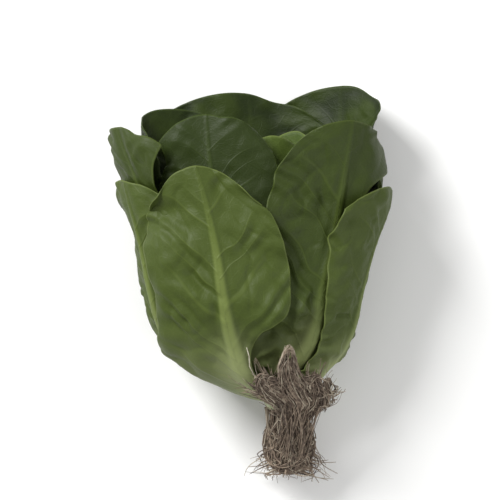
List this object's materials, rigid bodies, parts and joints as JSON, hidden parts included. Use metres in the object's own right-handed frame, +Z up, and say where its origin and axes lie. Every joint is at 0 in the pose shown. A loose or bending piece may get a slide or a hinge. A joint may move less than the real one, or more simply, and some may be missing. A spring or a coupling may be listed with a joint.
{
  "type": "romaine lettuce head",
  "caption": "Baby romaine lettuce head lying on its side: broad ribbed leaves overlapping round a short stem, with its roots still on.",
  "frame": {"origin": "middle of the head's box at the height of the surface it lies on", "axes": "+Y from the roots to the leaf tips, +X to the right, +Z up from the surface"},
  "size_m": [0.1716, 0.243, 0.0891],
  "materials": {
    "leaf_outer": "satin dark green leaf with paler ribs",
    "leaf_inner": "satin mid green leaf",
    "leaf_heart": "satin pale yellow-green leaf",
    "stem": "satin pale green",
    "roots": "matte brown fibres"
  },
  "bodies": {
    "root": {"leaf_01": "leaf_outer", "leaf_02": "leaf_outer", "leaf_03": "leaf_outer", "leaf_04": "leaf_outer", "leaf_05": "leaf_outer", "leaf_06": "leaf_outer", "leaf_07": "leaf_outer", "leaf_08": "leaf_outer", "leaf_09": "leaf_inner", "leaf_10": "leaf_inner", "leaf_11": "leaf_inner", "leaf_12": "leaf_heart", "leaf_13": "leaf_heart", "leaf_14": "leaf_heart", "leaf_15": "leaf_heart", "leaf_16": "leaf_heart", "leaf_17": "leaf_heart", "leaf_18": "leaf_heart", "stem": "stem", "roots": "roots"}
  },
  "joints": []
}
